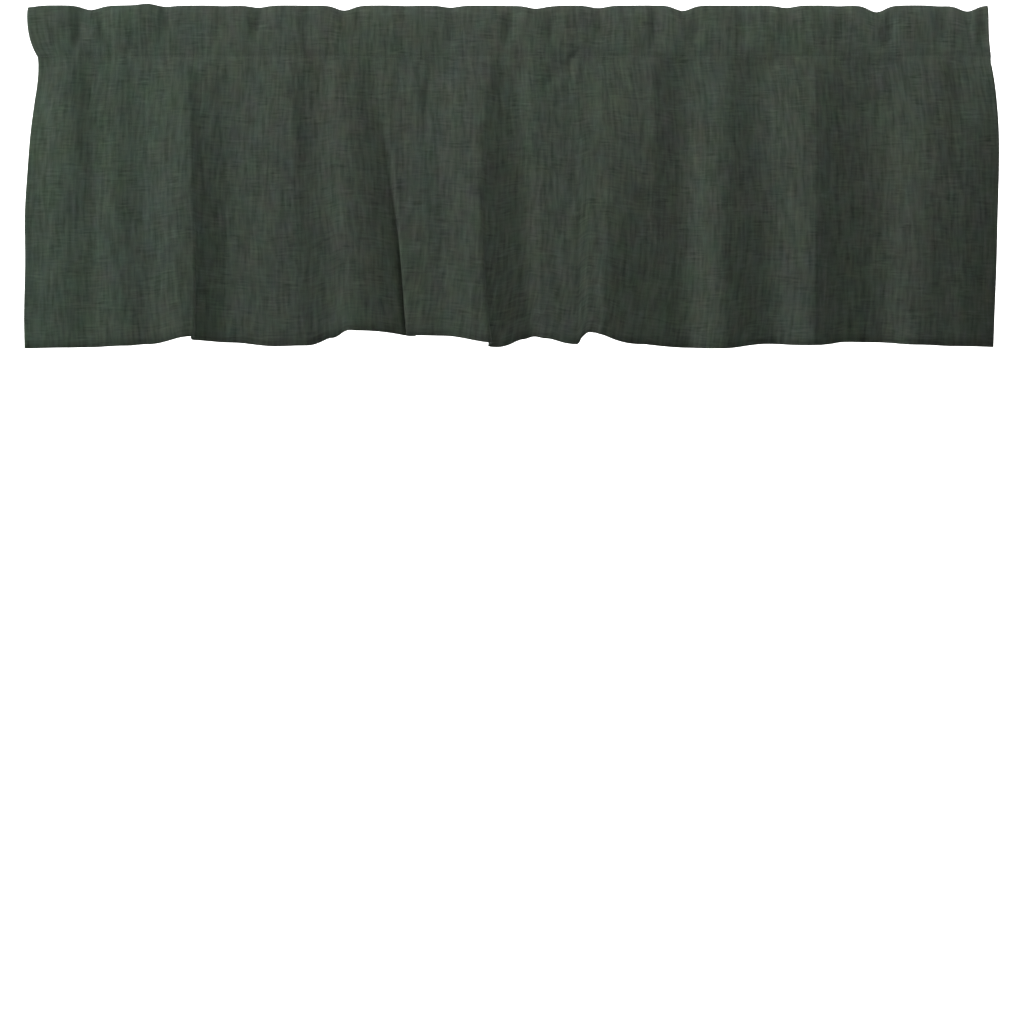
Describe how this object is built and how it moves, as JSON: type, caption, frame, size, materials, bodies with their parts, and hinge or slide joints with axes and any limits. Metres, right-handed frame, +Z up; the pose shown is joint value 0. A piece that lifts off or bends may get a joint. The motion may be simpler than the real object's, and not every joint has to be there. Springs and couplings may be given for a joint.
{
  "type": "window valance",
  "caption": "Straight rod-pocket valance of linen-look cloth: a flat open-ended sleeve for a curtain rod along the top and a short, softly folded drop with an uneven plain hem",
  "frame": {"origin": "middle of the heading's top edge, on the rod pocket's middle plane, where the rod carries the valance", "axes": "+X to the right as seen from the room, along the rod; +Y towards the wall or window, so the front faces -Y; +Z up, so the cloth hangs below the origin"},
  "size_m": [1.3033, 0.0445, 0.4585],
  "materials": {
    "linen_cloth": "matt slubby plain weave, dark grey-green"
  },
  "bodies": {
    "root": {"heading": "linen_cloth", "panel": "linen_cloth"}
  },
  "joints": []
}
